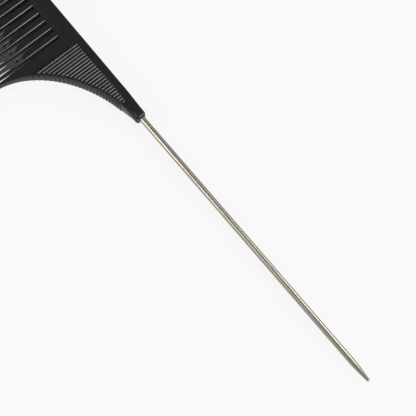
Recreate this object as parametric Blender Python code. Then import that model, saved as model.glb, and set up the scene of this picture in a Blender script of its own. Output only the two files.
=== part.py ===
"""Rat tail comb: a moulded plastic comb body with a steel tail pin set in its grip.

The comb lies flat. +X runs from the toothed head to the tip of the tail, +Y points to the spine,
the teeth point to -Y, and +Z is up. The finished part is centred over the origin and rests on Z = 0.
While it is modelled, X = 0 is the end of the collar, where the steel leaves the plastic, and Y = 0
is the pin's axis.
"""

import math

import bmesh
import bpy
from mathutils import Vector

MM = 0.001

# Tail pin
PIN_DIAMETER = 2.0 * MM
PIN_LENGTH = 104.6 * MM
PIN_TAPER = 7.0 * MM
PIN_POINT_DIAMETER = 0.9 * MM
PIN_POINT_LENGTH = 0.45 * MM

# Flattened inner end of the pin, which holds it in the grip
ANCHOR_DEPTH = 20.0 * MM
PADDLE_LENGTH = 5.0 * MM
PADDLE_WIDTH = 3.0 * MM
PADDLE_THICKNESS = 1.2 * MM
PADDLE_RUN_OUT = 2.5 * MM
BORE_CLEARANCE = 0.3 * MM

# Comb body
THICKNESS = 5.4 * MM
SHOULDER_THICKNESS = 3.5 * MM
TIP_THICKNESS = 1.9 * MM
SPINE_OFFSET = 1.6 * MM
SPINE_RISE = 0.0118
SPINE_EDGE = 0.7 * MM
SPINE_WIDTH = 5.15 * MM
GRIP_LENGTH = 37.4 * MM
TIP_REACH = 29.0 * MM
SHOULDER_REACH = 18.6 * MM

# Teeth
PAIR_COUNT = 26
TOOTH_PITCH = 1.7 * MM
TOOTH_ROOT_WIDTH = 0.65 * MM
TOOTH_TIP_WIDTH = 0.6 * MM
KNEE_RISE = 0.55 * MM
ROOT_BEVEL_SETBACK = 0.08 * MM
ROOT_BEVEL_DEPTH = 0.2 * MM
HEAD_GUARD = 4.4 * MM
HEAD_GUARD_LEAN = 1.4 * MM
HEAD_CORNER = 5.0 * MM

# Finger rest, the concave edge between the end tooth and the collar
END_TOOTH_WIDTH = 0.9 * MM
SWEEP_POWER = 1.87

# Ribbed grip
RIB_PITCH = 1.072 * MM
RIB_START = 6.8 * MM
RIB_END_MARGIN = 5.5 * MM
RIB_DEPTH = 0.3 * MM
RIB_GROOVE = 0.8 * MM
RIB_SPINE_MARGIN = 2.5 * MM
RIB_EDGE_MARGIN = 0.7 * MM
RIDGE_HEIGHT = 0.38 * MM
RIDGE_WIDTH = 0.9 * MM
RIDGE_MARGIN = 0.35 * MM

# Collar
COLLAR_DIAMETER = 4.3 * MM
COLLAR_ROUND = 0.7 * MM
COLLAR_RUN_OUT = 8.0 * MM
COLLAR_MARGIN = 0.4 * MM
COLLAR_FLARE = 1.6

# Room that a cutter has beyond what it cuts, and the facets of a curve
OVERCUT = 1.0 * MM
ROUND_SEGMENTS = 32
ARC_SEGMENTS = 6
SWEEP_SEGMENTS = 48


def clear_scene():
    """Remove every object, so that the script always starts from an empty scene."""
    for item in list(bpy.data.objects):
        bpy.data.objects.remove(item, do_unlink=True)


def make_material(name, color, roughness, metallic):
    """Return a Principled material with one colour, roughness and metallic value."""
    material = bpy.data.materials.new(name)
    material.use_nodes = True
    shader = material.node_tree.nodes["Principled BSDF"]
    shader.inputs["Base Color"].default_value = (*color, 1.0)
    shader.inputs["Roughness"].default_value = roughness
    shader.inputs["Metallic"].default_value = metallic
    material.diffuse_color = (*color, 1.0)
    return material


def new_object(name, mesh_data):
    """Turn a bmesh into an object in the scene, with its faces turned outward."""
    bmesh.ops.recalc_face_normals(mesh_data, faces=mesh_data.faces)
    mesh = bpy.data.meshes.new(name)
    mesh_data.to_mesh(mesh)
    mesh_data.free()
    item = bpy.data.objects.new(name, mesh)
    bpy.context.scene.collection.objects.link(item)
    return item


def add_prism(mesh_data, outline, direction):
    """Add the solid between an outline and the same outline moved by a direction."""
    start = [mesh_data.verts.new(point) for point in outline]
    end = [mesh_data.verts.new(Vector(point) + Vector(direction)) for point in outline]
    bridge(mesh_data, start, end)
    mesh_data.faces.new(start)
    mesh_data.faces.new(end)


def bridge(mesh_data, ring, other):
    """Join two rings with the same number of points by a band of quads."""
    count = len(ring)
    for index in range(count):
        following = (index + 1) % count
        mesh_data.faces.new((ring[index], ring[following], other[following], other[index]))


def add_loft(mesh_data, sections):
    """Add the closed solid that runs through a list of sections with equal point counts."""
    rings = [[mesh_data.verts.new(point) for point in section] for section in sections]
    for ring, other in zip(rings, rings[1:]):
        bridge(mesh_data, ring, other)
    mesh_data.faces.new(rings[0])
    mesh_data.faces.new(rings[-1])


def spine_y(x):
    """Height of the spine's edge above the pin's axis at a place along the comb."""
    return SPINE_OFFSET - SPINE_RISE * x


def root_y(x):
    """Line on which the deep gaps between the teeth end."""
    return spine_y(x) - SPINE_WIDTH


def knee_y(x):
    """Line, just above the roots, where the face starts to slope down to the tips."""
    return root_y(x) + KNEE_RISE


def sweep_size():
    """Length and depth of the concave finger rest."""
    length = GRIP_LENGTH - gap_width(TIP_REACH) / 2.0 - END_TOOTH_WIDTH
    depth = TIP_REACH - COLLAR_DIAMETER / 2.0
    return length, depth


def sweep_point(turn):
    """Point on the finger rest, from the end tooth's tip at 0 to the collar at a right angle."""
    length, depth = sweep_size()
    x = -length * math.cos(turn) ** (2.0 / SWEEP_POWER)
    y = -TIP_REACH + depth * math.sin(turn) ** (2.0 / SWEEP_POWER)
    return x, y


def rib_count():
    """Number of ribs that fit between the collar and the end tooth."""
    return int((GRIP_LENGTH - RIB_END_MARGIN - RIB_START) / RIB_PITCH) + 1


def sweep_turn(x):
    """Turn at which the finger rest passes a place along the comb."""
    length, _ = sweep_size()
    return math.acos((-x / length) ** (SWEEP_POWER / 2.0))


def half_thickness(x, y):
    """Distance from the middle plane to the face: flat over the spine, then a slope to the tips."""
    knee = knee_y(x)
    if y >= knee:
        return THICKNESS / 2.0
    if y >= -SHOULDER_REACH:
        share = (knee - y) / (knee + SHOULDER_REACH)
        return (THICKNESS + (SHOULDER_THICKNESS - THICKNESS) * share) / 2.0
    share = (-SHOULDER_REACH - y) / (TIP_REACH - SHOULDER_REACH)
    return (SHOULDER_THICKNESS + (TIP_THICKNESS - SHOULDER_THICKNESS) * share) / 2.0


def gap_width(reach):
    """Width of the gap between two teeth at a distance from the pin's axis."""
    root = -root_y(-GRIP_LENGTH)
    share = (reach - root) / (TIP_REACH - root)
    return TOOTH_PITCH - TOOTH_ROOT_WIDTH + (TOOTH_ROOT_WIDTH - TOOTH_TIP_WIDTH) * share


def head_end():
    """Place of the comb's far end along X."""
    return -GRIP_LENGTH - 2.0 * PAIR_COUNT * TOOTH_PITCH - HEAD_GUARD


def arc_points(centre, radius, start, end, segments):
    """Points on an arc in a plane, angles in degrees."""
    points = []
    for step in range(segments + 1):
        angle = math.radians(start + (end - start) * step / segments)
        points.append((centre[0] + radius * math.cos(angle), centre[1] + radius * math.sin(angle)))
    return points


def plate_section(x):
    """Cross-section of the comb: a round-edged spine, a knee at the roots and thin rounded tips."""
    middle = THICKNESS / 2.0
    top = spine_y(x)
    corner = (top - SPINE_EDGE, middle - SPINE_EDGE)
    upper = arc_points(corner, SPINE_EDGE, 0.0, 90.0, ARC_SEGMENTS)
    upper.append((knee_y(x), THICKNESS / 2.0))
    upper.append((-SHOULDER_REACH, SHOULDER_THICKNESS / 2.0))
    tip = TIP_THICKNESS / 2.0
    upper += arc_points((-TIP_REACH + tip, 0.0), tip, 90.0, 180.0, ARC_SEGMENTS)[:-1]
    lower = [(y, -z) for y, z in reversed(upper)]
    outline = upper + [(-TIP_REACH, 0.0)] + lower
    return [(x, y, middle + z) for y, z in outline]


def make_plate():
    """Make the solid plate that holds the spine, the teeth and the grip."""
    mesh_data = bmesh.new()
    add_loft(mesh_data, [plate_section(head_end()), plate_section(OVERCUT)])
    return new_object("comb_body", mesh_data)


def make_outline_cutter():
    """Make the prism that the plate is trimmed to, seen from above."""
    end = head_end()
    tip_end = end + HEAD_GUARD_LEAN
    corner = (end + HEAD_CORNER, spine_y(end) - HEAD_CORNER)
    tip = TIP_THICKNESS / 2.0
    points = [(OVERCUT, 2.0 * SPINE_OFFSET), (corner[0], spine_y(end) + OVERCUT)]
    points += arc_points(corner, HEAD_CORNER, 90.0, 180.0, ARC_SEGMENTS)
    points += arc_points((tip_end + tip, -TIP_REACH + tip), tip, 180.0, 270.0, ARC_SEGMENTS)
    outer = sweep_point(0.0)[0]
    points.append((outer - END_TOOTH_WIDTH / 2.0, -TIP_REACH))
    for step in range(1, SWEEP_SEGMENTS + 1):
        points.append(sweep_point(0.5 * math.pi * step / SWEEP_SEGMENTS))
    points.append((OVERCUT, -COLLAR_DIAMETER / 2.0))
    mesh_data = bmesh.new()
    add_prism(mesh_data, [(x, y, -OVERCUT) for x, y in points], (0.0, 0.0, THICKNESS + 2.0 * OVERCUT))
    return new_object("outline_cutter", mesh_data)


def add_slot(mesh_data, x, start_reach):
    """Add one gap between teeth: round at its root and wider towards the tips."""
    end_reach = TIP_REACH + OVERCUT
    radius = gap_width(start_reach) / 2.0
    points = arc_points((x, -start_reach - radius), radius, 0.0, 180.0, ARC_SEGMENTS)
    points.append((x - gap_width(end_reach) / 2.0, -end_reach))
    points.append((x + gap_width(end_reach) / 2.0, -end_reach))
    add_prism(mesh_data, [(px, py, -OVERCUT) for px, py in points], (0, 0, THICKNESS + 2.0 * OVERCUT))


def make_gap_cutter():
    """Make every gap: a deep one each side of a pair of teeth, a short one inside the pair."""
    mesh_data = bmesh.new()
    for index in range(PAIR_COUNT + 1):
        x = -GRIP_LENGTH - 2.0 * index * TOOTH_PITCH
        add_slot(mesh_data, x, -root_y(x))
        if index < PAIR_COUNT:
            add_slot(mesh_data, x - TOOTH_PITCH, SHOULDER_REACH)
    return new_object("gap_cutter", mesh_data)


def make_recess_cutter():
    """Make the two slabs that leave the teeth a little thinner than the spine and the grip."""
    mesh_data = bmesh.new()
    middle = THICKNESS / 2.0
    end_reach = TIP_REACH + OVERCUT
    inset = gap_width(end_reach) / 8.0
    for side in (-1.0, 1.0):
        sections = []
        for x in (-GRIP_LENGTH - 2.0 * PAIR_COUNT * TOOTH_PITCH + inset, -GRIP_LENGTH - inset):
            start = knee_y(x) - ROOT_BEVEL_SETBACK
            floor = [(start + OVERCUT, middle + OVERCUT)]
            for y in (start - ROOT_BEVEL_DEPTH, -SHOULDER_REACH, -end_reach):
                floor.append((y, half_thickness(x, y) - ROOT_BEVEL_DEPTH))
            floor.append((-end_reach, middle + OVERCUT))
            sections.append([(x, y, middle + side * z) for y, z in floor])
        add_loft(mesh_data, sections)
    return new_object("recess_cutter", mesh_data)


def make_rib_cutter():
    """Make the grooves that leave ribs on both faces of the grip."""
    mesh_data = bmesh.new()
    middle = THICKNESS / 2.0
    for index in range(rib_count()):
        x = -RIB_START - index * RIB_PITCH
        start = spine_y(x) - RIB_SPINE_MARGIN
        end = sweep_point(sweep_turn(x))[1] + RIB_EDGE_MARGIN
        knee = [knee_y(x)] if end < knee_y(x) < start else []
        for side in (-1.0, 1.0):
            sections = []
            for y in [start, *knee, end]:
                face = half_thickness(x, y)
                rise = 2.0 * RIB_DEPTH
                half_width = RIB_GROOVE * (RIB_DEPTH + rise) / (2.0 * RIB_DEPTH)
                triangle = [(-half_width, face + rise), (0.0, face - RIB_DEPTH), (half_width, face + rise)]
                sections.append([(x + px, y, middle + side * pz) for px, pz in triangle])
            add_loft(mesh_data, sections)
    return new_object("rib_cutter", mesh_data)


def make_ridges():
    """Make the upright ridges along the finger rest, one at the end of each rib."""
    mesh_data = bmesh.new()
    middle = THICKNESS / 2.0
    step = 0.01
    for index in range(rib_count()):
        x = -RIB_START - (index + 0.5) * RIB_PITCH
        turn = sweep_turn(x)
        base = Vector(sweep_point(turn))
        along = (Vector(sweep_point(turn + step)) - Vector(sweep_point(turn - step))).normalized()
        outward = Vector((along.y, -along.x))
        half_height = half_thickness(x, base.y) - RIDGE_MARGIN
        sink = base - outward * RIDGE_HEIGHT
        corners = [sink - along * RIDGE_WIDTH / 2.0, sink + along * RIDGE_WIDTH / 2.0]
        corners += [base + along * RIDGE_WIDTH / 2.0, base + outward * RIDGE_HEIGHT]
        corners.append(base - along * RIDGE_WIDTH / 2.0)
        outline = [(point.x, point.y, middle - half_height) for point in corners]
        add_prism(mesh_data, outline, (0.0, 0.0, 2.0 * half_height))
    return new_object("ridges", mesh_data)


def add_lathe(mesh_data, profile, height):
    """Add the solid that a closed profile of (x, radius) points sweeps about the pin's axis."""
    rings = []
    for x, radius in profile:
        if radius == 0.0:
            rings.append([mesh_data.verts.new((x, 0.0, height))])
            continue
        ring = []
        for step in range(ROUND_SEGMENTS):
            angle = 2.0 * math.pi * step / ROUND_SEGMENTS
            y, rise = radius * math.cos(angle), radius * math.sin(angle)
            ring.append(mesh_data.verts.new((x, y, height + rise)))
        rings.append(ring)
    for ring, other in zip(rings, rings[1:] + rings[:1]):
        if len(ring) == len(other) == 1:
            continue
        if len(ring) == 1 or len(other) == 1:
            point, circle = (ring[0], other) if len(ring) == 1 else (other[0], ring)
            for index in range(ROUND_SEGMENTS):
                mesh_data.faces.new((point, circle[index], circle[(index + 1) % ROUND_SEGMENTS]))
        else:
            bridge(mesh_data, ring, other)


def make_collar_cutter():
    """Make the ring that turns the end of the grip into a round collar."""
    radius = COLLAR_DIAMETER / 2.0
    side = -sweep_point(sweep_turn(-COLLAR_RUN_OUT))[1]
    start_radius = math.hypot(THICKNESS / 2.0, side) + COLLAR_MARGIN
    outer = start_radius + THICKNESS
    profile = [(-COLLAR_RUN_OUT, outer), (-COLLAR_RUN_OUT, start_radius)]
    steps = 2 * ARC_SEGMENTS
    for step in range(1, steps):
        share = step / steps
        x = -COLLAR_RUN_OUT + (COLLAR_RUN_OUT - COLLAR_ROUND) * share
        profile.append((x, radius + (start_radius - radius) * (1.0 - share) ** COLLAR_FLARE))
    profile += arc_points((-COLLAR_ROUND, radius - COLLAR_ROUND), COLLAR_ROUND, 90.0, 0.0, ARC_SEGMENTS)
    end = 2.0 * OVERCUT
    mesh_data = bmesh.new()
    add_lathe(mesh_data, [*profile, (0.0, 0.0), (end, 0.0), (end, outer)], THICKNESS / 2.0)
    return new_object("collar_cutter", mesh_data)


def rod_section(x, half_width, half_height):
    """Elliptical ring round the pin's axis."""
    ring = []
    for step in range(ROUND_SEGMENTS):
        angle = 2.0 * math.pi * step / ROUND_SEGMENTS
        ring.append((x, half_width * math.cos(angle), THICKNESS / 2.0 + half_height * math.sin(angle)))
    return ring


def anchor_stations(clearance):
    """Places, half widths and half heights of the pin's hidden end, with room round it."""
    radius = PIN_DIAMETER / 2.0 + clearance
    flat = (PADDLE_WIDTH / 2.0 + clearance, PADDLE_THICKNESS / 2.0 + clearance)
    inner = -ANCHOR_DEPTH
    return [
        (inner - clearance, *flat),
        (inner + PADDLE_LENGTH, *flat),
        (inner + PADDLE_LENGTH + PADDLE_RUN_OUT, radius, radius),
    ]


def make_bore_cutter():
    """Make the cavity that the pin's hidden end fills."""
    radius = PIN_DIAMETER / 2.0 + BORE_CLEARANCE
    mesh_data = bmesh.new()
    stations = [*anchor_stations(BORE_CLEARANCE), (OVERCUT, radius, radius)]
    add_loft(mesh_data, [rod_section(*station) for station in stations])
    return new_object("bore_cutter", mesh_data)


def make_pin():
    """Make the steel pin: flattened inner end, round shank and short taper to a blunt point."""
    radius = PIN_DIAMETER / 2.0
    point = PIN_POINT_DIAMETER / 2.0
    taper_start = PIN_LENGTH - PIN_POINT_LENGTH - PIN_TAPER
    stations = [*anchor_stations(0.0), (taper_start, radius, radius)]
    for step in range(1, ARC_SEGMENTS + 1):
        share = step / ARC_SEGMENTS
        size = radius + (point - radius) * share ** 1.5
        stations.append((taper_start + PIN_TAPER * share, size, size))
    for step in range(1, ARC_SEGMENTS):
        angle = 0.5 * math.pi * step / ARC_SEGMENTS
        size = point * math.cos(angle)
        stations.append((PIN_LENGTH - PIN_POINT_LENGTH * (1.0 - math.sin(angle)), size, size))
    mesh_data = bmesh.new()
    add_loft(mesh_data, [rod_section(*station) for station in stations])
    return new_object("tail_pin", mesh_data)


def apply_boolean(target, tool, operation):
    """Apply a Boolean to the target's mesh and remove the tool."""
    modifier = target.modifiers.new(tool.name, "BOOLEAN")
    modifier.object = tool
    modifier.operation = operation
    modifier.solver = "EXACT"
    graph = bpy.context.evaluated_depsgraph_get()
    mesh = bpy.data.meshes.new_from_object(target.evaluated_get(graph))
    target.modifiers.clear()
    target.data = mesh
    bpy.data.objects.remove(tool, do_unlink=True)


def make_body():
    """Cut and join the comb body from the plate."""
    body = make_plate()
    apply_boolean(body, make_outline_cutter(), "INTERSECT")
    apply_boolean(body, make_recess_cutter(), "DIFFERENCE")
    apply_boolean(body, make_gap_cutter(), "DIFFERENCE")
    apply_boolean(body, make_rib_cutter(), "DIFFERENCE")
    apply_boolean(body, make_ridges(), "UNION")
    apply_boolean(body, make_collar_cutter(), "DIFFERENCE")
    apply_boolean(body, make_bore_cutter(), "DIFFERENCE")
    return body


def place(item):
    """Centre the part over the origin."""
    length_middle = (head_end() + PIN_LENGTH) / 2.0
    width_middle = (spine_y(head_end() + HEAD_CORNER) - TIP_REACH) / 2.0
    item.location = (-length_middle, -width_middle, 0.0)


def main():
    """Build the comb body and the tail pin."""
    clear_scene()
    plastic = make_material("black_plastic", (0.017, 0.018, 0.016), 0.3, 0.0)
    steel = make_material("stainless_steel", (0.62, 0.60, 0.56), 0.18, 1.0)
    body = make_body()
    body.data.materials.clear()
    body.data.materials.append(plastic)
    pin = make_pin()
    pin.data.materials.append(steel)
    for polygon in pin.data.polygons:
        polygon.use_smooth = len(polygon.vertices) == 4
    for item in (body, pin):
        place(item)


main()
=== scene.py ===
"""Finished look of the rat tail comb: a moulded comb body with a ribbed grip and a steel tail pin.

The comb body's shapes are written in the comb's own frame: X = 0 is the end of the collar, where the
steel leaves the plastic, Y = 0 is the pin's axis, and Z = 0 is the middle plane. The teeth point to -Y.
"""

import logging
import math
from dataclasses import dataclass
from enum import Enum

import bmesh
import bpy
import numpy as np
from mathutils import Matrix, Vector
from mathutils.geometry import delaunay_2d_cdt


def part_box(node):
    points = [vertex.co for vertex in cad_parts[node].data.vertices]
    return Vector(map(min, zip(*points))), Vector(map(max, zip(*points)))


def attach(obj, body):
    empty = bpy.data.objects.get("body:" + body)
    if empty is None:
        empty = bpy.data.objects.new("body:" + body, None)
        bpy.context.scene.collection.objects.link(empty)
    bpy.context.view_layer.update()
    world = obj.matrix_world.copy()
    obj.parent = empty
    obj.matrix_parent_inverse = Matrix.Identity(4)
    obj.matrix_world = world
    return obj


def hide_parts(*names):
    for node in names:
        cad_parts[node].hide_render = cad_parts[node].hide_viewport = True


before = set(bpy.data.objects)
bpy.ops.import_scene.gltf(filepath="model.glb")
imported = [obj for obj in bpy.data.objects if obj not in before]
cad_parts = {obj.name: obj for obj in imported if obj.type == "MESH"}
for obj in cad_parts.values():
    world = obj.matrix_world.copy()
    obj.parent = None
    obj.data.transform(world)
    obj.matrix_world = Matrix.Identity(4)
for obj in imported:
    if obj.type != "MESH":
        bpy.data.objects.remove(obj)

MM = 0.001
WELD = 1e-7
LOG = logging.getLogger("comb")

Point = tuple[float, float]


class Face(Enum):
    """The two broad faces of the comb body."""

    UPPER = 1.0
    LOWER = -1.0


class Bead(Enum):
    """Cross-section of a raised bead."""

    ROUND = "round"
    ROOFED = "roofed"


def linear(hex_colour: str) -> tuple[float, float, float, float]:
    """Turn an sRGB hex colour into linear values.

    Args:
        hex_colour: Six hex digits after a hash sign.

    Returns:
        Linear red, green and blue, with an alpha of 1.
    """
    values = [int(hex_colour[start:start + 2], 16) / 255.0 for start in (1, 3, 5)]
    channels = [v / 12.92 if v <= 0.04045 else ((v + 0.055) / 1.055) ** 2.4 for v in values]
    return (*channels, 1.0)


def arc(centre: Point, radius: float, start: float, end: float, steps: int) -> list[Point]:
    """Return points on an arc.

    Args:
        centre: Centre of the arc.
        radius: Radius in metres.
        start: First angle in degrees.
        end: Last angle in degrees.
        steps: Number of steps between them.

    Returns:
        The points, both ends included.
    """
    angles = np.radians(np.linspace(start, end, steps + 1))
    return [(centre[0] + radius * math.cos(a), centre[1] + radius * math.sin(a)) for a in angles]


def straight(start: Point, end: Point, steps: int) -> list[Point]:
    """Return evenly spaced points on a line, without its last point."""
    shares = np.arange(steps) / steps
    return [tuple(np.add(start, np.subtract(end, start) * share)) for share in shares]


@dataclass(frozen=True)
class CombShape:
    """Lines and thicknesses that every piece of the comb body follows."""

    origin: Vector
    half: float
    length: float
    tip_reach: float
    pitch: float = 1.7 * MM
    root_width: float = 0.65 * MM
    tip_width: float = 0.6 * MM
    pair_count: int = 26
    grip_length: float = 37.4 * MM
    shoulder_reach: float = 18.6 * MM
    shoulder_half: float = 1.75 * MM
    tip_half: float = 0.95 * MM
    spine_offset: float = 1.6 * MM
    spine_rise: float = 0.0118
    spine_width: float = 5.15 * MM
    knee_rise: float = 0.55 * MM
    tooth_recess: float = 0.2 * MM
    bar_drop: float = 0.28 * MM
    end_tooth_width: float = 0.9 * MM
    sweep_power: float = 1.87
    collar_radius: float = 2.15 * MM
    collar_round: float = 0.7 * MM
    collar_run_out: float = 8.0 * MM
    collar_half: float = 2.4 * MM
    collar_sharpness: float = 14.0
    collar_low_power: float = 2.4
    collar_high_power: float = 7.0
    collar_ease: float = 2.5

    def place(self, x: float, y: float, z: float) -> Vector:
        """Return the place in the shared frame of a point in the comb's own frame."""
        return self.origin + Vector((x, y, z))

    def spine_y(self, x: float) -> float:
        """Return the height of the spine's edge above the pin's axis."""
        return self.spine_offset - self.spine_rise * x

    def root_y(self, x: float) -> float:
        """Return the line on which the gaps between the pairs of teeth end."""
        return self.spine_y(x) - self.spine_width

    def knee_y(self, x: float) -> float:
        """Return the line where the face starts to slope down to the tips."""
        return self.root_y(x) + self.knee_rise

    def bar_y(self, x: float) -> float:
        """Return the lower edge of the spine bar, just above the roots of the teeth."""
        return self.knee_y(x) - self.bar_drop

    def gap(self, reach: float) -> float:
        """Return the width of a gap between teeth at a distance from the pin's axis."""
        root = -self.root_y(-self.grip_length)
        share = (reach - root) / (self.tip_reach - root)
        return self.pitch - self.root_width + (self.root_width - self.tip_width) * share

    def sweep(self, turn: float) -> Point:
        """Return a point on the finger rest.

        Args:
            turn: 0 at the end tooth's tip, a right angle at the collar.

        Returns:
            The point's X and Y.
        """
        length = self.grip_length - self.gap(self.tip_reach) / 2.0 - self.end_tooth_width
        depth = self.tip_reach - self.collar_radius
        power = 2.0 / self.sweep_power
        return -length * math.cos(turn) ** power, -self.tip_reach + depth * math.sin(turn) ** power

    def sweep_turn(self, x: float) -> float:
        """Return the turn at which the finger rest passes a place along the comb."""
        length = self.grip_length - self.gap(self.tip_reach) / 2.0 - self.end_tooth_width
        return math.acos((-x / length) ** (self.sweep_power / 2.0))

    def sweep_inset(self, turn: float, inset: float) -> tuple[Vector, Vector]:
        """Return a point beside the finger rest and the direction out of its wall.

        Args:
            turn: Where on the finger rest.
            inset: Distance into the plastic.

        Returns:
            The point and the outward direction, both flat.
        """
        step = 0.004
        along = Vector(self.sweep(turn + step)) - Vector(self.sweep(turn - step))
        outward = Vector((along.y, -along.x)).normalized()
        return Vector(self.sweep(turn)) - outward * inset, outward

    def face(self, x: float, y: float) -> float:
        """Return the face's height above the middle plane, without edges and collar."""
        knee = self.knee_y(x)
        if y >= knee:
            return self.half
        if y >= -self.shoulder_reach:
            share = (knee - y) / (knee + self.shoulder_reach)
            return self.half + (self.shoulder_half - self.half) * share
        share = (-self.shoulder_reach - y) / (self.tip_reach - self.shoulder_reach)
        return self.shoulder_half + (self.tip_half - self.shoulder_half) * min(share, 1.0)

    def round_limit(self, x: float, y: float) -> float:
        """Return the height that the collar allows at a place.

        The grip's cross-section is a superellipse that turns from a bar with crisp edges into an oval at
        the collar's end. It stays squarer on the spine's side, where its power is higher.

        Args:
            x: Place along the comb.
            y: Place across it.

        Returns:
            The height above the middle plane.
        """
        if x <= -self.collar_run_out:
            return self.half
        low = self.sweep(self.sweep_turn(min(x, 0.0)))[1]
        high = self.spine_y(x)
        share = min((x + self.collar_run_out) / (self.collar_run_out - self.collar_round), 1.0)
        ease = share * share * (3.0 - 2.0 * share)
        width = (high - low) / 2.0
        middle = (high + low) / 2.0
        power = self.collar_high_power if y > middle else self.collar_low_power
        power += self.collar_sharpness * (1.0 - share) ** self.collar_ease
        height = self.half + (self.collar_half - self.half) * ease
        nose = max(x + self.collar_round, 0.0)
        shrink = self.collar_round - math.sqrt(max(self.collar_round ** 2 - nose ** 2, 0.0))
        across = min(abs(y - middle) / (width - shrink), 1.0)
        return (height - shrink) * (1.0 - across ** power) ** (1.0 / power)


def read_shape() -> CombShape:
    """Read the comb's place and overall sizes from the frame.

    Returns:
        The shape, placed where the CAD parts are.
    """
    body_low, body_high = (Vector(corner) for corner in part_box("comb_body"))
    pin_low, pin_high = (Vector(corner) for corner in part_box("tail_pin"))
    axis_y = (pin_low.y + pin_high.y) / 2.0
    middle = (body_low.z + body_high.z) / 2.0
    return CombShape(
        origin=Vector((body_high.x, axis_y, middle)),
        half=(body_high.z - body_low.z) / 2.0,
        length=body_high.x - body_low.x,
        tip_reach=axis_y - body_low.y,
    )


def make_object(name: str, shell: bmesh.types.BMesh, smooth_angle: float) -> bpy.types.Object:
    """Turn a closed shell into a smooth-shaded object in the scene.

    Args:
        name: Name of the piece.
        shell: The shell, which is freed.
        smooth_angle: Edges sharper than this angle in degrees stay sharp.

    Returns:
        The new object.
    """
    bmesh.ops.remove_doubles(shell, verts=shell.verts, dist=WELD)
    bmesh.ops.dissolve_degenerate(shell, edges=shell.edges, dist=WELD)
    bmesh.ops.recalc_face_normals(shell, faces=shell.faces)
    mesh = bpy.data.meshes.new(name)
    shell.to_mesh(mesh)
    shell.free()
    mesh.shade_smooth()
    mesh.set_sharp_from_angle(angle=math.radians(smooth_angle))
    piece = bpy.data.objects.new(name, mesh)
    bpy.context.scene.collection.objects.link(piece)
    return piece


def bridge(shell: bmesh.types.BMesh, ring: list, other: list, closed: bool = True) -> None:
    """Join two rows of vertices by quads.

    Args:
        shell: The mesh that holds both rows.
        ring: First row.
        other: Second row, with the same number of vertices.
        closed: Whether the rows are rings.
    """
    count = len(ring)
    for index in range(count if closed else count - 1):
        after = (index + 1) % count
        shell.faces.new((ring[index], ring[after], other[after], other[index]))


# ---------------------------------------------------------------------------------------------------
# Finishes
# ---------------------------------------------------------------------------------------------------


def add_node(
    tree: bpy.types.NodeTree, kind: str, settings: dict | None = None, links: dict | None = None
) -> bpy.types.Node:
    """Add one node with its settings and its incoming links.

    Args:
        tree: Node tree that gets the node.
        kind: Blender's identifier of the node type.
        settings: Properties of the node, or values of its inputs.
        links: Output sockets that feed inputs, by the input's name or number.

    Returns:
        The new node.
    """
    node = tree.nodes.new(kind)
    for key, value in (settings or {}).items():
        if isinstance(key, str) and hasattr(node, key):
            setattr(node, key, value)
        else:
            node.inputs[key].default_value = value
    for key, socket in (links or {}).items():
        tree.links.new(socket, node.inputs[key])
    return node


def new_material(name: str) -> tuple[bpy.types.Material, bpy.types.NodeTree, bpy.types.Node]:
    """Return a new material with its node tree and its Principled shader."""
    material = bpy.data.materials.new(name)
    material.use_nodes = True
    return material, material.node_tree, material.node_tree.nodes["Principled BSDF"]


def spread_finish(
    tree: bpy.types.NodeTree,
    tone: tuple[bpy.types.NodeSocket, Point],
    colours: tuple[str, str],
    gloss: tuple[bpy.types.NodeSocket, Point],
    roughness: Point,
) -> None:
    """Let one pattern mix the colour of a finish and another spread its roughness.

    Args:
        tree: Node tree of the finish.
        tone: Pattern that mixes the colours, with the band of it that counts.
        colours: Hex colours at the band's two ends.
        gloss: Pattern that sets the roughness, with the band of it that counts.
        roughness: Roughness at the band's two ends.
    """
    shader = tree.nodes["Principled BSDF"]
    bands = []
    for (pattern, (low, high)), (first, last) in ((tone, (0.0, 1.0)), (gloss, roughness)):
        band = {"From Min": low, "From Max": high, "To Min": first, "To Max": last}
        bands.append(add_node(tree, "ShaderNodeMapRange", band, {"Value": pattern}).outputs["Result"])
    ends = {"data_type": "RGBA", 6: linear(colours[0]), 7: linear(colours[1])}
    colour = add_node(tree, "ShaderNodeMix", ends, {0: bands[0]}).outputs[2]
    tree.links.new(colour, shader.inputs["Base Color"])
    tree.links.new(bands[1], shader.inputs["Roughness"])


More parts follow.
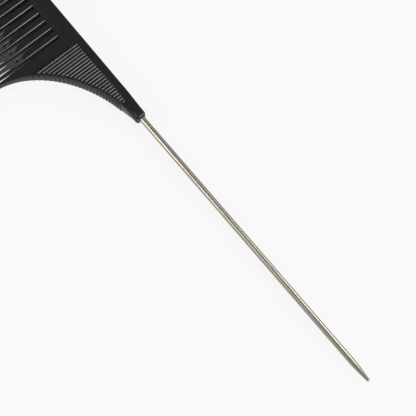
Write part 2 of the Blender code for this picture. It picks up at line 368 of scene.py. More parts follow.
@dataclass(frozen=True)
class MouldedPlastic:
    """Black injection-moulded plastic, as it leaves a polished mould.

    The eye sees a deep black with a soft gloss, fine specks of dust and handling marks, and a slow
    waviness where the thick plastic has shrunk a little as it cooled.
    """

    name: str = "moulded_black_plastic"
    deep: str = "#121211"
    worn: str = "#232321"
    roughness: float = 0.3
    roughness_spread: float = 0.08
    ior: float = 1.53
    speck_size: float = 0.7 * MM
    cloud_size: float = 6.0 * MM
    sink_size: float = 9.0 * MM
    speck_band: Point = (0.5, 0.8)
    cloud_band: Point = (0.3, 0.7)
    grain_depth: float = 0.006 * MM
    sink_depth: float = 0.05 * MM

    def build(self) -> bpy.types.Material:
        """Build the material.

        Returns:
            The material with its nodes.
        """
        material, tree, shader = new_material(self.name)
        shader.inputs["IOR"].default_value = self.ior
        place = add_node(tree, "ShaderNodeTexCoord").outputs["Object"]
        patterns = []
        for size, detail in ((self.speck_size, 3.0), (self.cloud_size, 3.0), (self.sink_size, 0.0)):
            noise = {"Scale": 1.0 / size, "Detail": detail, "Roughness": 0.6}
            patterns.append(add_node(tree, "ShaderNodeTexNoise", noise, {"Vector": place}).outputs["Fac"])
        speck, cloud, sink = patterns
        lowest, highest = self.roughness - self.roughness_spread, self.roughness + self.roughness_spread
        spread_finish(
            tree,
            (speck, self.speck_band),
            (self.deep, self.worn),
            (cloud, self.cloud_band),
            (lowest, highest),
        )
        waves = add_node(
            tree, "ShaderNodeBump", {"Strength": 1.0, "Distance": self.sink_depth}, {"Height": sink}
        ).outputs["Normal"]
        grain = add_node(
            tree,
            "ShaderNodeBump",
            {"Strength": 1.0, "Distance": self.grain_depth},
            {"Height": speck, "Normal": waves},
        ).outputs["Normal"]
        tree.links.new(grain, shader.inputs["Normal"])
        return material


@dataclass(frozen=True)
class DrawnSteel:
    """Stainless steel wire, drawn and then polished along its length.

    The eye sees a mirror that is smeared along the pin, with fine streaks that run its whole length.
    """

    name: str = "drawn_stainless_steel"
    bright: str = "#cecabf"
    dull: str = "#bcb7ab"
    roughness: float = 0.26
    roughness_spread: float = 0.05
    streak_length: float = 14.0 * MM
    streak_width: float = 0.35 * MM
    streak_band: Point = (0.3, 0.7)
    streak_depth: float = 0.001 * MM

    def build(self) -> bpy.types.Material:
        """Build the material.

        Returns:
            The material with its nodes.
        """
        material, tree, shader = new_material(self.name)
        shader.inputs["Metallic"].default_value = 1.0
        place = add_node(tree, "ShaderNodeTexCoord").outputs["Object"]
        scale = (1.0 / self.streak_length, 1.0 / self.streak_width, 1.0 / self.streak_width)
        stretched = add_node(tree, "ShaderNodeMapping", {"Scale": scale}, {"Vector": place}).outputs[0]
        noise = {"Scale": 1.0, "Detail": 3.0, "Roughness": 0.65}
        streak = add_node(tree, "ShaderNodeTexNoise", noise, {"Vector": stretched}).outputs["Fac"]
        lowest, highest = self.roughness - self.roughness_spread, self.roughness + self.roughness_spread
        pattern = (streak, self.streak_band)
        spread_finish(tree, pattern, (self.dull, self.bright), pattern, (highest, lowest))
        lines = add_node(
            tree, "ShaderNodeBump", {"Strength": 1.0, "Distance": self.streak_depth}, {"Height": streak}
        ).outputs["Normal"]
        tree.links.new(lines, shader.inputs["Normal"])
        return material


# ---------------------------------------------------------------------------------------------------
# Geometry Nodes
# ---------------------------------------------------------------------------------------------------


def new_geometry_tree(name: str, inputs: dict[str, str]) -> bpy.types.NodeTree:
    """Return a new Geometry Nodes tree with named inputs.

    Args:
        name: Name of the tree.
        inputs: Socket type by input name.

    Returns:
        The tree, with a geometry input and output.
    """
    tree = bpy.data.node_groups.new(name, "GeometryNodeTree")
    tree.interface.new_socket("Geometry", in_out="INPUT", socket_type="NodeSocketGeometry")
    tree.interface.new_socket("Geometry", in_out="OUTPUT", socket_type="NodeSocketGeometry")
    for label, kind in inputs.items():
        tree.interface.new_socket(label, in_out="INPUT", socket_type=kind)
    return tree


def finish_geometry_tree(
    tree: bpy.types.NodeTree, geometry: bpy.types.NodeSocket, material: bpy.types.NodeSocket
) -> None:
    """End a tree in Realize Instances and Set Material.

    Args:
        tree: The tree.
        geometry: Socket with the finished geometry.
        material: Socket with the material.
    """
    real = add_node(tree, "GeometryNodeRealizeInstances", links={"Geometry": geometry}).outputs[0]
    dressed = add_node(tree, "GeometryNodeSetMaterial", links={"Geometry": real, "Material": material})
    add_node(tree, "NodeGroupOutput", links={"Geometry": dressed.outputs[0]})


def run_geometry_tree(piece: bpy.types.Object, tree: bpy.types.NodeTree, values: dict) -> None:
    """Run a tree on an object and keep its result as a plain mesh.

    Args:
        piece: Object whose mesh goes into the tree and is replaced by the result.
        tree: The tree.
        values: Value by input name.
    """
    modifier = piece.modifiers.new(tree.name, "NODES")
    modifier.node_group = tree
    sockets = {item.name: item.identifier for item in tree.interface.items_tree if item.in_out == "INPUT"}
    for label, value in values.items():
        modifier[sockets[label]] = value
    graph = bpy.context.evaluated_depsgraph_get()
    mesh = bpy.data.meshes.new_from_object(piece.evaluated_get(graph))
    piece.modifiers.remove(modifier)
    piece.data = mesh
    mesh.name = piece.name


def make_row_tree() -> bpy.types.NodeTree:
    """Build the tree that sets copies of a piece in a row, each a little longer than the last.

    Returns:
        The tree, with the inputs Count, Start, Step, Growth and Material.
    """
    tree = new_geometry_tree(
        "row_of_tooth_pairs",
        {
            "Count": "NodeSocketInt",
            "Start": "NodeSocketVector",
            "Step": "NodeSocketVector",
            "Growth": "NodeSocketFloat",
            "Material": "NodeSocketMaterial",
        },
    )
    given = add_node(tree, "NodeGroupInput").outputs
    line = add_node(
        tree,
        "GeometryNodeMeshLine",
        links={"Count": given["Count"], "Start Location": given["Start"], "Offset": given["Step"]},
    ).outputs[0]
    index = add_node(tree, "GeometryNodeInputIndex").outputs[0]
    stretch = add_node(
        tree, "ShaderNodeMath", {"operation": "MULTIPLY_ADD", 2: 1.0}, {0: index, 1: given["Growth"]}
    ).outputs[0]
    scale = add_node(tree, "ShaderNodeCombineXYZ", {"X": 1.0, "Z": 1.0}, {"Y": stretch}).outputs[0]
    copies = add_node(
        tree,
        "GeometryNodeInstanceOnPoints",
        links={"Points": line, "Instance": given["Geometry"], "Scale": scale},
    ).outputs[0]
    finish_geometry_tree(tree, copies, given["Material"])
    return tree


def make_bead_tree(bead: Bead) -> bpy.types.NodeTree:
    """Build the tree that lays a bead along every rail.

    A rail is a chain of edges whose points hold the bead's size there in the attribute bead_scale.
    A roofed bead has its Width Above on the side that looks to +Z. A round one is as wide as its
    Width Above and has no use for Width Below.

    Args:
        bead: Shape of the bead's cross-section.

    Returns:
        The tree, with the inputs Width Above, Width Below, Height and Material.
    """
    sizes = dict.fromkeys(("Width Above", "Width Below", "Height"), "NodeSocketFloat")
    name = f"{bead.value}_beads_on_rails"
    tree = new_geometry_tree(name, {**sizes, "Material": "NodeSocketMaterial"})
    given = add_node(tree, "NodeGroupInput").outputs
    size = add_node(
        tree, "GeometryNodeInputNamedAttribute", {"data_type": "FLOAT", "Name": "bead_scale"}
    ).outputs["Attribute"]
    rails = add_node(tree, "GeometryNodeMeshToCurve", links={"Mesh": given["Geometry"]}).outputs[0]
    upright = add_node(tree, "GeometryNodeSetCurveNormal", {"mode": "Z_UP"}, {"Curve": rails}).outputs[0]
    sized = add_node(
        tree, "GeometryNodeSetCurveRadius", links={"Curve": upright, "Radius": size}
    ).outputs[0]
    if bead is Bead.ROUND:
        outline = add_node(
            tree, "GeometryNodeCurvePrimitiveCircle", {"Resolution": 12, "Radius": 0.5}
        ).outputs[0]
        scale = add_node(
            tree, "ShaderNodeCombineXYZ", {"Z": 1.0}, {"X": given["Width Above"], "Y": given["Height"]}
        ).outputs[0]
        profile = add_node(
            tree, "GeometryNodeTransform", links={"Geometry": outline, "Scale": scale}
        ).outputs[0]
    else:
        outline = add_node(
            tree,
            "GeometryNodeCurvePrimitiveQuadrilateral",
            {"mode": "TRAPEZOID", "Offset": 0.0},
            {
                "Bottom Width": given["Width Above"],
                "Top Width": given["Width Below"],
                "Height": given["Height"],
            },
        ).outputs[0]
        profile = add_node(
            tree,
            "GeometryNodeFilletCurve",
            {"mode": "POLY", "Count": 2, "Radius": 0.05 * MM},
            {"Curve": outline},
        ).outputs[0]
    beads = add_node(
        tree,
        "GeometryNodeCurveToMesh",
        {"Fill Caps": True},
        {"Curve": sized, "Profile Curve": profile, "Scale": size},
    ).outputs[0]
    finish_geometry_tree(tree, beads, given["Material"])
    return tree


def make_rails(name: str, rails: list[list[tuple[Vector, float]]]) -> bpy.types.Object:
    """Make an object of edge chains for the bead tree.

    Args:
        name: Name of the piece.
        rails: Points in the shared frame with the bead's scale at each.

    Returns:
        The object, with the attribute bead_scale.
    """
    points = [point for rail in rails for point, _ in rail]
    scales = [scale for rail in rails for _, scale in rail]
    edges, first = [], 0
    for rail in rails:
        edges += [(first + step, first + step + 1) for step in range(len(rail) - 1)]
        first += len(rail)
    mesh = bpy.data.meshes.new(name)
    mesh.from_pydata(points, edges, [])
    mesh.attributes.new("bead_scale", "FLOAT", "POINT").data.foreach_set("value", scales)
    piece = bpy.data.objects.new(name, mesh)
    bpy.context.scene.collection.objects.link(piece)
    return piece


# ---------------------------------------------------------------------------------------------------
# Pieces of the comb body
# ---------------------------------------------------------------------------------------------------


@dataclass
class GripRibs:
    """Raised ribs across both faces of the grip, and the ridges that carry them down its wall."""

    shape: CombShape
    count: int = 24
    pitch: float = 1.072 * MM
    start: float = 6.8 * MM
    depth: float = 0.3 * MM
    spine_margin: float = 2.5 * MM
    edge_margin: float = 0.62 * MM
    panel_turns: Point = (0.2, 0.5 * math.pi - 0.01)
    groove_width: float = 0.8 * MM
    panel_rim: float = 0.14 * MM
    ridge_half_width: float = 0.45 * MM
    ridge_sink: float = 0.08 * MM
    ridge_margin: float = 0.4 * MM
    ridge_fade: float = 0.35
    ridge_end_scale: float = 0.3

    def crests(self) -> list[float]:
        """Return the ribs' places along the comb."""
        return [-self.start - (index + 0.5) * self.pitch for index in range(self.count)]

    def panel_low(self, x: float) -> float:
        """Return the lower edge of the ribbed panel at a place along the comb."""
        turns = np.linspace(*self.panel_turns, 120)
        line = np.array([self.shape.sweep_inset(turn, self.edge_margin)[0] for turn in turns])
        return float(np.interp(x, line[:, 0], line[:, 1]))

    def panel_high(self, x: float) -> float:
        """Return the upper edge of the ribbed panel at a place along the comb."""
        return self.shape.spine_y(x) - self.spine_margin

    def panel_outline(self, inset: float) -> list[Point]:
        """Return the outline of the sunken panel under the ribs.

        Args:
            inset: Distance from the panel's edge.

        Returns:
            A closed loop of points.
        """
        right = -self.start - inset
        left = -self.start - self.count * self.pitch + inset
        places = np.linspace(left, right, 40)
        low = [(x, self.panel_low(x) + inset) for x in places]
        high = [(x, self.panel_high(x) - inset) for x in (right, left)]
        return [*low, *high]

    def build_ribs(self, face: Face) -> bpy.types.Object:
        """Make the rails of the ribs on one face.

        Args:
            face: Which face.

        Returns:
            The rails.
        """
        rails = []
        for x in self.crests():
            rail = []
            low, high = self.panel_low(x) + self.panel_rim, self.panel_high(x) - self.panel_rim
            for y in np.linspace(low, high, 16):
                height = min(self.shape.face(x, y), self.shape.round_limit(x, y)) - self.depth
                rail.append((self.shape.place(x, y, face.value * height), 1.0))
            rails.append(rail)
        return make_rails(f"grip_ribs_{face.name.lower()}", rails)

    def build_ridges(self) -> bpy.types.Object:
        """Make the rails of the ridges on the finger rest.

        Returns:
            The rails.
        """
        rails = []
        for x in self.crests():
            base, _ = self.shape.sweep_inset(self.shape.sweep_turn(x), self.ridge_sink)
            half = self.shape.face(base.x, base.y) - self.ridge_margin
            rail = []
            for angle in np.radians(np.linspace(-90.0, 90.0, 13)):
                height = half * math.sin(angle)
                scale = max(max(math.cos(angle), 0.0) ** self.ridge_fade, self.ridge_end_scale)
                rail.append((self.shape.place(base.x, base.y, height), scale))
            rails.append(rail)
        return make_rails("finger_ridges", rails)

    def build(self, plastic: bpy.types.Material) -> list[bpy.types.Object]:
        """Make the ribs and the ridges.

        Args:
            plastic: Their material.

        Returns:
            The pieces.
        """
        tree = make_bead_tree(Bead.ROOFED)
        crest, foot = self.pitch - self.groove_width, self.pitch + self.groove_width
        pieces = []
        for face in Face:
            # The crest looks away from the middle plane, so it is the upper side on one face only.
            above, below = (crest, foot) if face is Face.UPPER else (foot, crest)
            sizes = {"Width Above": above, "Width Below": below, "Height": 2.0 * self.depth}
            ribs = self.build_ribs(face)
            run_geometry_tree(ribs, tree, {**sizes, "Material": plastic})
            pieces.append(ribs)
        ridges = self.build_ridges()
        sizes = dict.fromkeys(("Width Above", "Height"), 2.0 * self.ridge_half_width)
        run_geometry_tree(ridges, make_bead_tree(Bead.ROUND), {**sizes, "Material": plastic})
        pieces.append(ridges)
        for piece in pieces:
            piece.data.shade_smooth()
            piece.data.set_sharp_from_angle(angle=math.radians(50.0))
            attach(piece, "root")
        return pieces


@dataclass
class CombPlate:
    """Spine bar, head-end guard, grip, end tooth and collar as one moulded plate."""

    shape: CombShape
    ribs: GripRibs
    spine_round: float = 0.35 * MM
    guard_round: float = 0.5 * MM
    gap_round: float = 0.25 * MM
    sweep_round: float = 0.4 * MM
    nose_round: float = 0.3 * MM
    guard_lean: float = 1.4 * MM
    head_corner: float = 5.0 * MM
    knee_blend: float = 0.5 * MM
    edge_steps: int = 5
    rim_inset: float = 0.15
    spine_clearance: float = 0.3 * MM
    sweep_clearance: float = 0.2 * MM
    tip_arc_end: float = 345.0
    sweep_begin: float = 0.045
    collar_mesh_start: float = 9.0 * MM
    collar_mesh_step: float = 0.4 * MM
    collar_mesh_end: float = 0.3 * MM
    knee_mesh_start: float = 35.0 * MM
    knee_mesh_step: float = 1.0 * MM
    panel_clearance: float = 0.5 * MM
    bar_lap: float = 0.02 * MM

    def outline(self) -> list[tuple[float, float, float]]:
        """Return the plate's outline with the radius of its edge at each point.

        Returns:
            X, Y and edge radius, anticlockwise from the lower side of the collar's end.
        """
        shape = self.shape
        end = -shape.length
        points = []

        def add(stretch: list[Point], edge: float) -> None:
            """Add a stretch of points with one edge radius."""
            points.extend((x, y, edge) for x, y in stretch)

        nose = shape.collar_round
        top, bottom = shape.spine_y(-nose) - nose, nose - shape.collar_radius
        add(straight((0.0, bottom), (0.0, top), 10), self.nose_round)
        add(arc((-nose, top), nose, 0.0, 90.0, 7), self.nose_round)
        near, far = -self.collar_mesh_start, end + self.head_corner
        start = -nose - self.spine_clearance
        add(straight((start, shape.spine_y(start)), (near, shape.spine_y(near)), 24), self.spine_round)
        add(straight((near, shape.spine_y(near)), (far, shape.spine_y(far)), 60), self.spine_round)
        corner = (far, shape.spine_y(far) - self.head_corner)
        add(arc(corner, self.head_corner, 90.0, 180.0, 14), self.spine_round)
        tip = shape.tip_half
        guard = (end + self.guard_lean + tip, -shape.tip_reach + tip)
        add(straight((end, corner[1] - tip), (guard[0] - tip, guard[1]), 10), self.guard_round)
        add(arc(guard, tip, 180.0, 270.0, 6), self.guard_round)
        last = -shape.grip_length - 2.0 * shape.pair_count * shape.pitch
        inner = last - shape.gap(shape.tip_reach) / 2.0
        add(arc((inner - tip, guard[1]), tip, 270.0, 360.0, 6), self.guard_round)
        add(self.gap_flank(last, -1.0, guard[1]), self.gap_round)
        bar_start = (last + self.bar_lap, shape.bar_y(last))
        bar_end = (-shape.grip_length - self.bar_lap, shape.bar_y(-shape.grip_length))
        add([*straight(bar_start, bar_end, shape.pair_count), bar_end], self.gap_round)
        radius = shape.end_tooth_width / 2.0
        outer = shape.sweep(0.0)[0]
        tooth = (outer - radius, -shape.tip_reach + radius)
        add(self.gap_flank(-shape.grip_length, 1.0, tooth[1])[::-1], self.gap_round)
        add(arc(tooth, radius, 180.0, self.tip_arc_end, 10), self.sweep_round)
        for turn in np.linspace(self.sweep_begin, 0.5 * math.pi, 90)[:-1]:
            x, y = shape.sweep(turn)
            if x < -nose - self.sweep_clearance:
                add([(x, y)], self.sweep_round)
        add(arc((-nose, bottom), nose, 270.0, 360.0, 7)[:-1], self.nose_round)
        return points

    def gap_flank(self, centre: float, side: float, low: float) -> list[Point]:
        """Return one side of an end gap, from the tips up to the middle of its round root.

        Args:
            centre: Middle of the gap.
            side: -1 for its left side, 1 for its right side.
            low: Lowest Y of the flank.

        Returns:
            The points from the bottom up.
        """
        shape = self.shape
        root = shape.root_y(centre)
        radius = shape.gap(-root) / 2.0
        high = root - radius
        points = []
        for y in np.linspace(low, high, 12)[:-1]:
            points.append((centre + side * shape.gap(-y) / 2.0, float(y)))
        start = 180.0 if side < 0.0 else 0.0
        return points + arc((centre, high), radius, start, 90.0, 5)

    def height(self, x: float, y: float) -> float:
        """Return the height of the flat face, blended over the knee and cut by collar and panel."""
        shape = self.shape
        knee = shape.knee_y(x)
        blend = self.knee_blend
        height = shape.face(x, y)
        if abs(y - knee) < blend:
            slope = (shape.half - shape.shoulder_half) / (knee + shape.shoulder_reach)
            height = shape.half - slope * (knee + blend - y) ** 2 / (4.0 * blend)
        return min(height, shape.round_limit(x, y))

    def rings(self) -> list[list[tuple[float, float, float]]]:
        """Return the rings of the rounded edge, from the wall to the flat face.

        Returns:
            Rings of X, Y and Z above the middle plane.
        """
        outline = self.outline()
        flat = np.array([(x, y) for x, y, _ in outline])
        edges = np.array([edge for _, _, edge in outline])
        ahead = np.roll(flat, -1, axis=0) - flat
        ahead /= np.linalg.norm(ahead, axis=1)[:, None]
        behind = np.roll(ahead, 1, axis=0)
        inward = np.stack((-(ahead + behind)[:, 1], (ahead + behind)[:, 0]), axis=1)
        inward /= np.linalg.norm(inward, axis=1)[:, None]
        side = np.stack((-ahead[:, 1], ahead[:, 0]), axis=1)
        # Corners are mitred, so that the rounded edge keeps its width round them.
        inward /= np.clip((inward * side).sum(axis=1), 0.5, 1.0)[:, None]
        rings = []
        for step in range(self.edge_steps + 2):
            angle = 0.5 * math.pi * min(step / self.edge_steps, 1.0)
            inset = 1.0 - math.cos(angle) + (self.rim_inset if step > self.edge_steps else 0.0)
            drop = 1.0 - math.sin(angle)
            ring = []
            for (x, y), edge, normal in zip(flat, edges, inward):
                px, py = x + normal[0] * edge * inset, y + normal[1] * edge * inset
                height = min(self.height(px, py) - edge * drop, self.shape.round_limit(px, py))
                ring.append((px, py, max(height, 0.0)))
            rings.append(ring)
        return rings

    def cap(self, loop: list[tuple[float, float, float]]) -> tuple[list, list]:
        """Fill the flat face inside the rounded edge.

        Args:
            loop: The innermost ring.

        Returns:
            Points with their heights, and triangles.
        """
        shape, ribs = self.shape, self.ribs
        count = len(loop)
        points = [Vector((x, y)) for x, y, _ in loop]
        edges = [(index, (index + 1) % count) for index in range(count)]

        def inside(x: float, y: float) -> bool:
            """Tell whether a point is inside the ring."""
            hit = False
            for (ax, ay, _), (bx, by, _) in zip(loop, [*loop[1:], loop[0]]):
                if (ay > y) != (by > y) and x < (bx - ax) * (y - ay) / (by - ay) + ax:
                    hit = not hit
            return hit

        for x in np.arange(-self.collar_mesh_start, -self.collar_mesh_end, self.collar_mesh_step):
            low, high = shape.sweep(shape.sweep_turn(x))[1], shape.spine_y(x)
            for turn in np.linspace(0.0, math.pi, 17)[1:-1]:
                y = low + (high - low) * (1.0 - math.cos(turn)) / 2.0
                if inside(x, y) and low + 1.5 * self.sweep_round < y < high - 1.5 * self.spine_round:
                    points.append(Vector((x, y)))
        for offset in (-self.knee_blend, 0.0, self.knee_blend):
            for x in np.arange(-self.knee_mesh_start, -self.collar_mesh_start, self.knee_mesh_step):
                y = shape.knee_y(x) + offset
                if inside(x, y) and y > ribs.panel_low(x) + self.panel_clearance:
                    points.append(Vector((x, y)))
        for inset in (0.0, ribs.panel_rim):
            first = len(points)
            outline = ribs.panel_outline(inset)
            points += [Vector(point) for point in outline]
            edges += [(first + i, first + (i + 1) % len(outline)) for i in range(len(outline))]
        result = delaunay_2d_cdt(points, edges, [list(range(count))], 1, 0.1 * WELD)
        sunk = {index for index, source in enumerate(result[3]) if any(s >= first for s in source)}
        right, left = -ribs.start - ribs.panel_rim, -ribs.start - ribs.count * ribs.pitch + ribs.panel_rim
        corners = []
        for index, point in enumerate(result[0]):
            x, y = point
            height = self.height(x, y)
            inner = left < x < right and ribs.panel_low(x) + ribs.panel_rim < y
            inner = inner and y < ribs.panel_high(x) - ribs.panel_rim
            corners.append((x, y, height - ribs.depth if inner or index in sunk else height))
        return corners, result[2]

    def build(self, plastic: bpy.types.Material) -> bpy.types.Object:
        """Make the plate.

        Args:
            plastic: Its material.

        Returns:
            The piece.
        """
        shell = bmesh.new()
        rings = self.rings()
        corners, triangles = self.cap(rings[-1])
        walls = []
        for face in Face:
            rows = []
            for ring in rings:
                rows.append([shell.verts.new(self.shape.place(x, y, face.value * z)) for x, y, z in ring])
            for row, other in zip(rows, rows[1:]):
                bridge(shell, row, other)
            cap = [shell.verts.new(self.shape.place(x, y, face.value * z)) for x, y, z in corners]
            for triangle in triangles:
                shell.faces.new([cap[index] for index in triangle])
            walls.append(rows[0])
        bridge(shell, walls[0], walls[1])
        plate = make_object("comb_plate", shell, smooth_angle=38.0)
        plate.data.materials.append(plastic)
        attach(plate, "root")
        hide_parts("comb_body")
        return plate


@dataclass
class ToothPairs:
    """The row of forked teeth: each pair is one web that splits into two teeth."""

    shape: CombShape
    sink: float = 0.7 * MM
    flare_lap: float = 0.02 * MM
    root_bevel: Point = (0.28 * MM, 0.26 * MM)
    tip_bevel: Point = (0.16 * MM, 0.3 * MM)
    bevel_rim: float = 0.05 * MM
    draft: float = 0.15 * MM
    root_length: float = 1.5 * MM
    fork_length: float = 1.2 * MM
    groove_start: float = 15.0 * MM
    groove_power: float = 2.2
    root_recess: float = 0.24 * MM
    ledge: float = 0.5 * MM
    tip_round: float = 0.8 * MM
    tip_turns: tuple[float, ...] = (25.0, 45.0, 62.0, 75.0, 85.0)
    foot_height: float = 0.05 * MM
    fade_start: float = 0.25 * MM
    fade_length: float = 0.3 * MM
    rounding: tuple[float, ...] = tuple(step * MM for step in (0.0, 0.02, 0.06, 0.12, 0.21, 0.325, 0.43))

    def stations(self) -> list[float]:
        """Return the distances from the pin's axis at which a pair has a cross-section."""
        shape = self.shape
        root = -shape.root_y(-shape.grip_length)
        fork = shape.shoulder_reach
        reaches = [root - self.sink, root - self.fade_start, *(root + step for step in self.rounding)]
        reaches += list(np.linspace(root + self.root_length, self.groove_start, 5))
        reaches += list(np.linspace(self.groove_start, fork, 10))[1:-1]
        reaches += [fork + step for step in self.rounding]
        reaches += list(np.linspace(fork + self.fork_length, shape.tip_reach - self.tip_round, 5))
        turns = np.radians(self.tip_turns)
        reaches += [shape.tip_reach - self.tip_round * (1.0 - math.sin(turn)) for turn in turns]
        return reaches

    def bevelled_side(self, wall: float, foot: Point, height: float, bevel: Point) -> list[Point]:
        """Return one side of a tooth from low on its wall to its flat crest.

        Args:
            wall: Place of the wall, measured outwards from the crest's side.
            foot: How far the wall's foot stands out, and its height.
            height: Height of the crest.
            bevel: Width and depth of the bevel.

        Returns:
            Distance inwards from the wall and height, from the foot up.
        """
        low = max(height - bevel[1], foot[1])
        drop = (height - low) / bevel[1] if bevel[1] > 0.0 else 0.0
        inset = bevel[0] * (1.0 - drop)
        side = [(inset - foot[0], foot[1]), (inset, max(low - self.bevel_rim, foot[1]))]
        for share in (0.0, 0.12, 0.88, 1.0):
            side.append((inset + bevel[0] * drop * share, low + (height - low) * share))
        side.append((bevel[0] + self.bevel_rim, height))
        return [(wall + distance, z) for distance, z in side]

    def half_section(self, reach: float) -> list[Point]:
        """Return the upper half of one tooth's cross-section.

        Args:
            reach: Distance from the pin's axis.

        Returns:
            Points from the middle of the pair to its outer side, as distance and height.
        """
        shape = self.shape
        root = -shape.root_y(-shape.grip_length)
        depth = reach - root
        radius = shape.gap(root) / 2.0
        outer = shape.pitch - shape.gap(max(reach, root)) / 2.0
        if depth < 0.0:
            outer = shape.pitch + self.flare_lap
        elif depth < radius:
            outer = shape.pitch - math.sqrt(radius ** 2 - (radius - depth) ** 2)
        share = min(max(depth / (shape.tip_reach - root), 0.0), 1.0)
        fade = min(max((depth + self.fade_start) / self.fade_length, 0.0), 1.0)
        bevel = tuple(fade * (a + (b - a) * share) for a, b in zip(self.root_bevel, self.tip_bevel))
        height = shape.face(-shape.grip_length, -reach) - shape.tooth_recess
        height = min(height, shape.half - self.root_recess)
        split = reach - shape.shoulder_reach
        radius = shape.gap(shape.shoulder_reach) / 2.0
        inner, hole, web = shape.gap(reach) / 2.0, 0.0, height
        ledge = min(self.ledge, height - self.tip_bevel[1])
        if split >= 0.0:
            web, hole = ledge, inner
            if split < radius:
                hole = min(math.sqrt(radius ** 2 - (radius - split) ** 2), inner)
        elif reach > self.groove_start:
            part = (reach - self.groove_start) / (shape.shoulder_reach - self.groove_start)
            web = height + (ledge - height) * part ** self.groove_power
        inner_side = self.bevelled_side(inner, (0.0, web), height, bevel)
        outer_side = self.bevelled_side(0.0, (self.draft * fade, self.foot_height), height, bevel)
        section = [(hole, web), *inner_side, *((outer - u, z) for u, z in outer_side[::-1])]
        over = max(reach - (shape.tip_reach - self.tip_round), 0.0) / self.tip_round
        taper = math.sqrt(1.0 - over ** 2)
        middle = (inner + outer) / 2.0
        return [(middle + (u - middle) * taper if over else u, z * taper) for u, z in section]

    def build_pair(self) -> bpy.types.Object:
        """Make one pair of teeth, with its tips on the line Y = 0.

        Returns:
            The pair.
        """
        shape = self.shape
        reaches = self.stations()
        shell = bmesh.new()
        for side in (-1.0, 1.0):
            rows = []
            for reach in reaches:
                section = self.half_section(reach)
                y = shape.tip_reach - reach
                upper = [shell.verts.new((side * u, y, z)) for u, z in section]
                lower = [shell.verts.new((side * u, y, -z)) for u, z in section]
                rows.append((upper, lower))
            for reach, (upper, lower), (after, under) in zip(reaches, rows, rows[1:]):
                bridge(shell, upper, after, closed=False)
                bridge(shell, lower, under, closed=False)
                bridge(shell, [upper[-1], lower[-1]], [after[-1], under[-1]], closed=False)
                if reach >= shape.shoulder_reach:
                    bridge(shell, [upper[0], lower[0]], [after[0], under[0]], closed=False)
            for upper, lower in (rows[0], rows[-1]):
                bridge(shell, upper, lower, closed=False)
        return make_object("tooth_pairs", shell, smooth_angle=60.0)

    def build(self, plastic: bpy.types.Material) -> bpy.types.Object:
        """Make the whole row of pairs.

        Args:
            plastic: Their material.

        Returns:
            The piece.
        """
        shape = self.shape
        teeth = self.build_pair()
        first = -shape.grip_length - shape.pitch
        length = shape.tip_reach + shape.root_y(-shape.grip_length)
        values = {
            "Count": shape.pair_count,
            "Start": shape.place(first, -shape.tip_reach, 0.0),
            "Step": (-2.0 * shape.pitch, 0.0, 0.0),
            "Growth": shape.spine_rise * 2.0 * shape.pitch / length,
            "Material": plastic,
        }
        run_geometry_tree(teeth, make_row_tree(), values)
        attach(teeth, "root")
        return teeth


@dataclass
class TailPin:
    """Steel pin with a flattened inner end, a round shank and a short taper to a blunt point."""

    shape: CombShape
    length: float
    radius: float = 1.0 * MM
    anchor_depth: float = 20.0 * MM
    paddle_half_width: float = 1.5 * MM
    paddle_half_height: float = 0.6 * MM
    paddle_length: float = 5.0 * MM
    paddle_run_out: float = 2.5 * MM
    paddle_chamfer: float = 0.3 * MM
    shank_lap: float = 1.0 * MM
    taper: float = 7.0 * MM
    taper_power: float = 1.5
    point_radius: float = 0.45 * MM
    point_length: float = 0.45 * MM
    sides: int = 40

    def stations(self) -> list[tuple[float, float, float]]:
        """Return the places, half widths and half heights of the pin's cross-sections."""
        inner = -self.anchor_depth
        flat = (self.paddle_half_width, self.paddle_half_height)
        chamfer = self.paddle_chamfer
        stations = [(inner, flat[0] - chamfer, flat[1] - 0.8 * chamfer), (inner + chamfer, *flat)]
        stations.append((inner + self.paddle_length, *flat))
        stations.append((inner + self.paddle_length + self.paddle_run_out, self.radius, self.radius))
        start = self.length - self.point_length - self.taper
        stations += [(x, self.radius, self.radius) for x in np.linspace(-self.shank_lap, start, 30)]
        for share in np.linspace(0.0, 1.0, 15)[1:]:
            size = self.radius + (self.point_radius - self.radius) * share ** self.taper_power
            stations.append((start + self.taper * share, size, size))
        for angle in np.radians(np.linspace(0.0, 84.0, 8))[1:]:
            size = self.point_radius * math.cos(angle)
            stations.append((self.length - self.point_length * (1.0 - math.sin(angle)), size, size))
        return stations

    def build(self, steel: bpy.types.Material) -> bpy.types.Object:
        """Make the pin.

        Args:
            steel: Its material.

        Returns:
            The piece.
        """
        shell = bmesh.new()
        angles = np.linspace(0.0, 2.0 * math.pi, self.sides, endpoint=False)
        rings = []
        for x, width, height in self.stations():
            ring = [self.shape.place(x, width * math.cos(a), height * math.sin(a)) for a in angles]
            rings.append([shell.verts.new(point) for point in ring])
        for ring, other in zip(rings, rings[1:]):
            bridge(shell, ring, other)
        shell.faces.new(rings[0])
        shell.faces.new(rings[-1])
        pin = make_object("steel_tail", shell, smooth_angle=50.0)
        pin.data.materials.append(steel)
        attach(pin, "root")
        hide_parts("tail_pin")
        return pin


# ---------------------------------------------------------------------------------------------------
# Studio
# ---------------------------------------------------------------------------------------------------


@dataclass(frozen=True)
class SoftLight:
    """One rectangular softbox, placed from the end of the collar, which it faces."""

    name: str
    place: tuple[float, float, float]
    size: tuple[float, float]
    radiance: float
    colour: str

    def build(self, target: Vector) -> bpy.types.Object:
        """Make the light.

        Args:
            target: End of the collar.

        Returns:
            The light.
        """
        data = bpy.data.lights.new(self.name, "AREA")
        data.shape = "RECTANGLE"
        data.size, data.size_y = self.size
        data.energy = self.radiance * math.pi * self.size[0] * self.size[1]
        data.color = linear(self.colour)[:3]
        light = bpy.data.objects.new(self.name, data)
        light.location = target + Vector(self.place)
        light.rotation_euler = (-Vector(self.place)).to_track_quat("-Z", "Y").to_euler()
        bpy.context.scene.collection.objects.link(light)
        return light


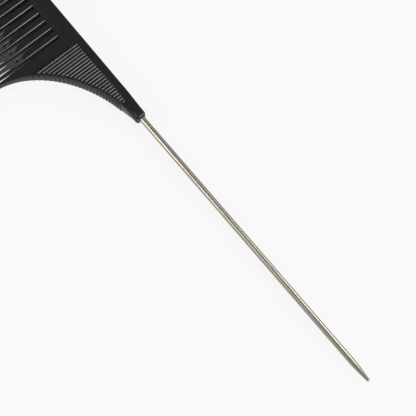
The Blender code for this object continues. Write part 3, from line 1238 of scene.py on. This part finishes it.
@dataclass
class Studio:
    """Back-lit white floor, which hides nearly all shadow, three softboxes, a dim room and a camera.

    The floor glows less towards the comb than towards the camera, so that the gaps between the teeth
    and the sides of the pin stay dark.
    """

    shape: CombShape
    floor_size: float = 4.0
    floor_drop: float = 0.05 * MM
    floor_colour: str = "#58585a"
    floor_glow: tuple[float, float] = (0.865, 0.6)
    room_colour: str = "#91918e"
    room_strength: float = 1.0
    focal_length: float = 103.85
    sensor: float = 36.0
    camera_offset: tuple[float, float, float] = (130.354 * MM, -79.525 * MM, 335.79 * MM)
    view_direction: tuple[float, float, float] = (-0.26600, 0.21518, -0.93965)

    def lights(self) -> list[SoftLight]:
        """Return the softboxes: one lights the comb from its tail, two draw lines along the pin."""
        return [
            SoftLight("side_softbox", (1.3, 0.32, 0.68), (0.9, 0.9), 6.5, "#ffffff"),
            SoftLight("near_softbox", (-0.42, -0.86, 0.74), (0.35, 0.6), 3.6, "#fff6ec"),
            SoftLight("far_softbox", (-0.02, 0.84, 0.86), (0.35, 0.55), 3.6, "#fffaf4"),
        ]

    def build_floor(self) -> bpy.types.Object:
        """Make the floor.

        Returns:
            The floor, which isn't part of the object.
        """
        half = self.floor_size / 2.0
        centre = self.shape.origin
        height = centre.z - self.shape.half - self.floor_drop
        corners = [(centre.x + sx * half, centre.y + sy * half, height)
                   for sx, sy in ((-1, -1), (1, -1), (1, 1), (-1, 1))]
        mesh = bpy.data.meshes.new("floor")
        mesh.from_pydata(corners, [], [(0, 1, 2, 3)])
        # Matt white paper lit from behind: an even white to the eye, without gloss or texture.
        material, tree, shader = new_material("white_paper_floor")
        shader.inputs["Base Color"].default_value = linear(self.floor_colour)
        shader.inputs["Roughness"].default_value = 0.9
        shader.inputs["Specular IOR Level"].default_value = 0.1
        shader.inputs["Emission Color"].default_value = (1.0, 1.0, 1.0, 1.0)
        seen = add_node(tree, "ShaderNodeLightPath").outputs["Is Camera Ray"]
        full, dimmed = self.floor_glow
        glow = add_node(
            tree, "ShaderNodeMapRange", {"To Min": dimmed, "To Max": full}, {"Value": seen}
        ).outputs["Result"]
        tree.links.new(glow, shader.inputs["Emission Strength"])
        mesh.materials.append(material)
        floor = bpy.data.objects.new("floor", mesh)
        bpy.context.scene.collection.objects.link(floor)
        return floor

    def build_camera(self) -> None:
        """Make the camera and look through it."""
        data = bpy.data.cameras.new("camera")
        data.sensor_width = self.sensor
        data.lens = self.focal_length
        data.clip_start = 0.01
        data.dof.use_dof = False
        camera = bpy.data.objects.new("camera", data)
        camera.location = self.shape.origin + Vector(self.camera_offset)
        camera.rotation_euler = Vector(self.view_direction).to_track_quat("-Z", "Y").to_euler()
        bpy.context.scene.collection.objects.link(camera)
        bpy.context.scene.camera = camera

    def build(self) -> None:
        """Make the whole studio."""
        scene = bpy.context.scene
        scene.view_settings.view_transform = "Standard"
        world = bpy.data.worlds.new("room")
        world.use_nodes = True
        backdrop = world.node_tree.nodes["Background"]
        backdrop.inputs["Color"].default_value = linear(self.room_colour)
        backdrop.inputs["Strength"].default_value = self.room_strength
        scene.world = world
        for light in self.lights():
            light.build(self.shape.origin)
        self.build_floor()
        self.build_camera()


def main() -> None:
    """Build the comb, its finishes and the studio."""
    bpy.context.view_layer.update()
    shape = read_shape()
    plastic = MouldedPlastic().build()
    steel = DrawnSteel().build()
    ribs = GripRibs(shape)
    pin_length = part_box("tail_pin")[1][0] - shape.origin.x
    pieces = [CombPlate(shape, ribs).build(plastic), ToothPairs(shape).build(plastic)]
    pieces += ribs.build(plastic)
    pieces.append(TailPin(shape, pin_length).build(steel))
    for piece in pieces:
        LOG.info("%s: %d faces", piece.name, len(piece.data.polygons))
    Studio(shape).build()


if __name__ == "__main__":
    logging.basicConfig(level=logging.INFO, format="%(name)s: %(message)s")
    main()
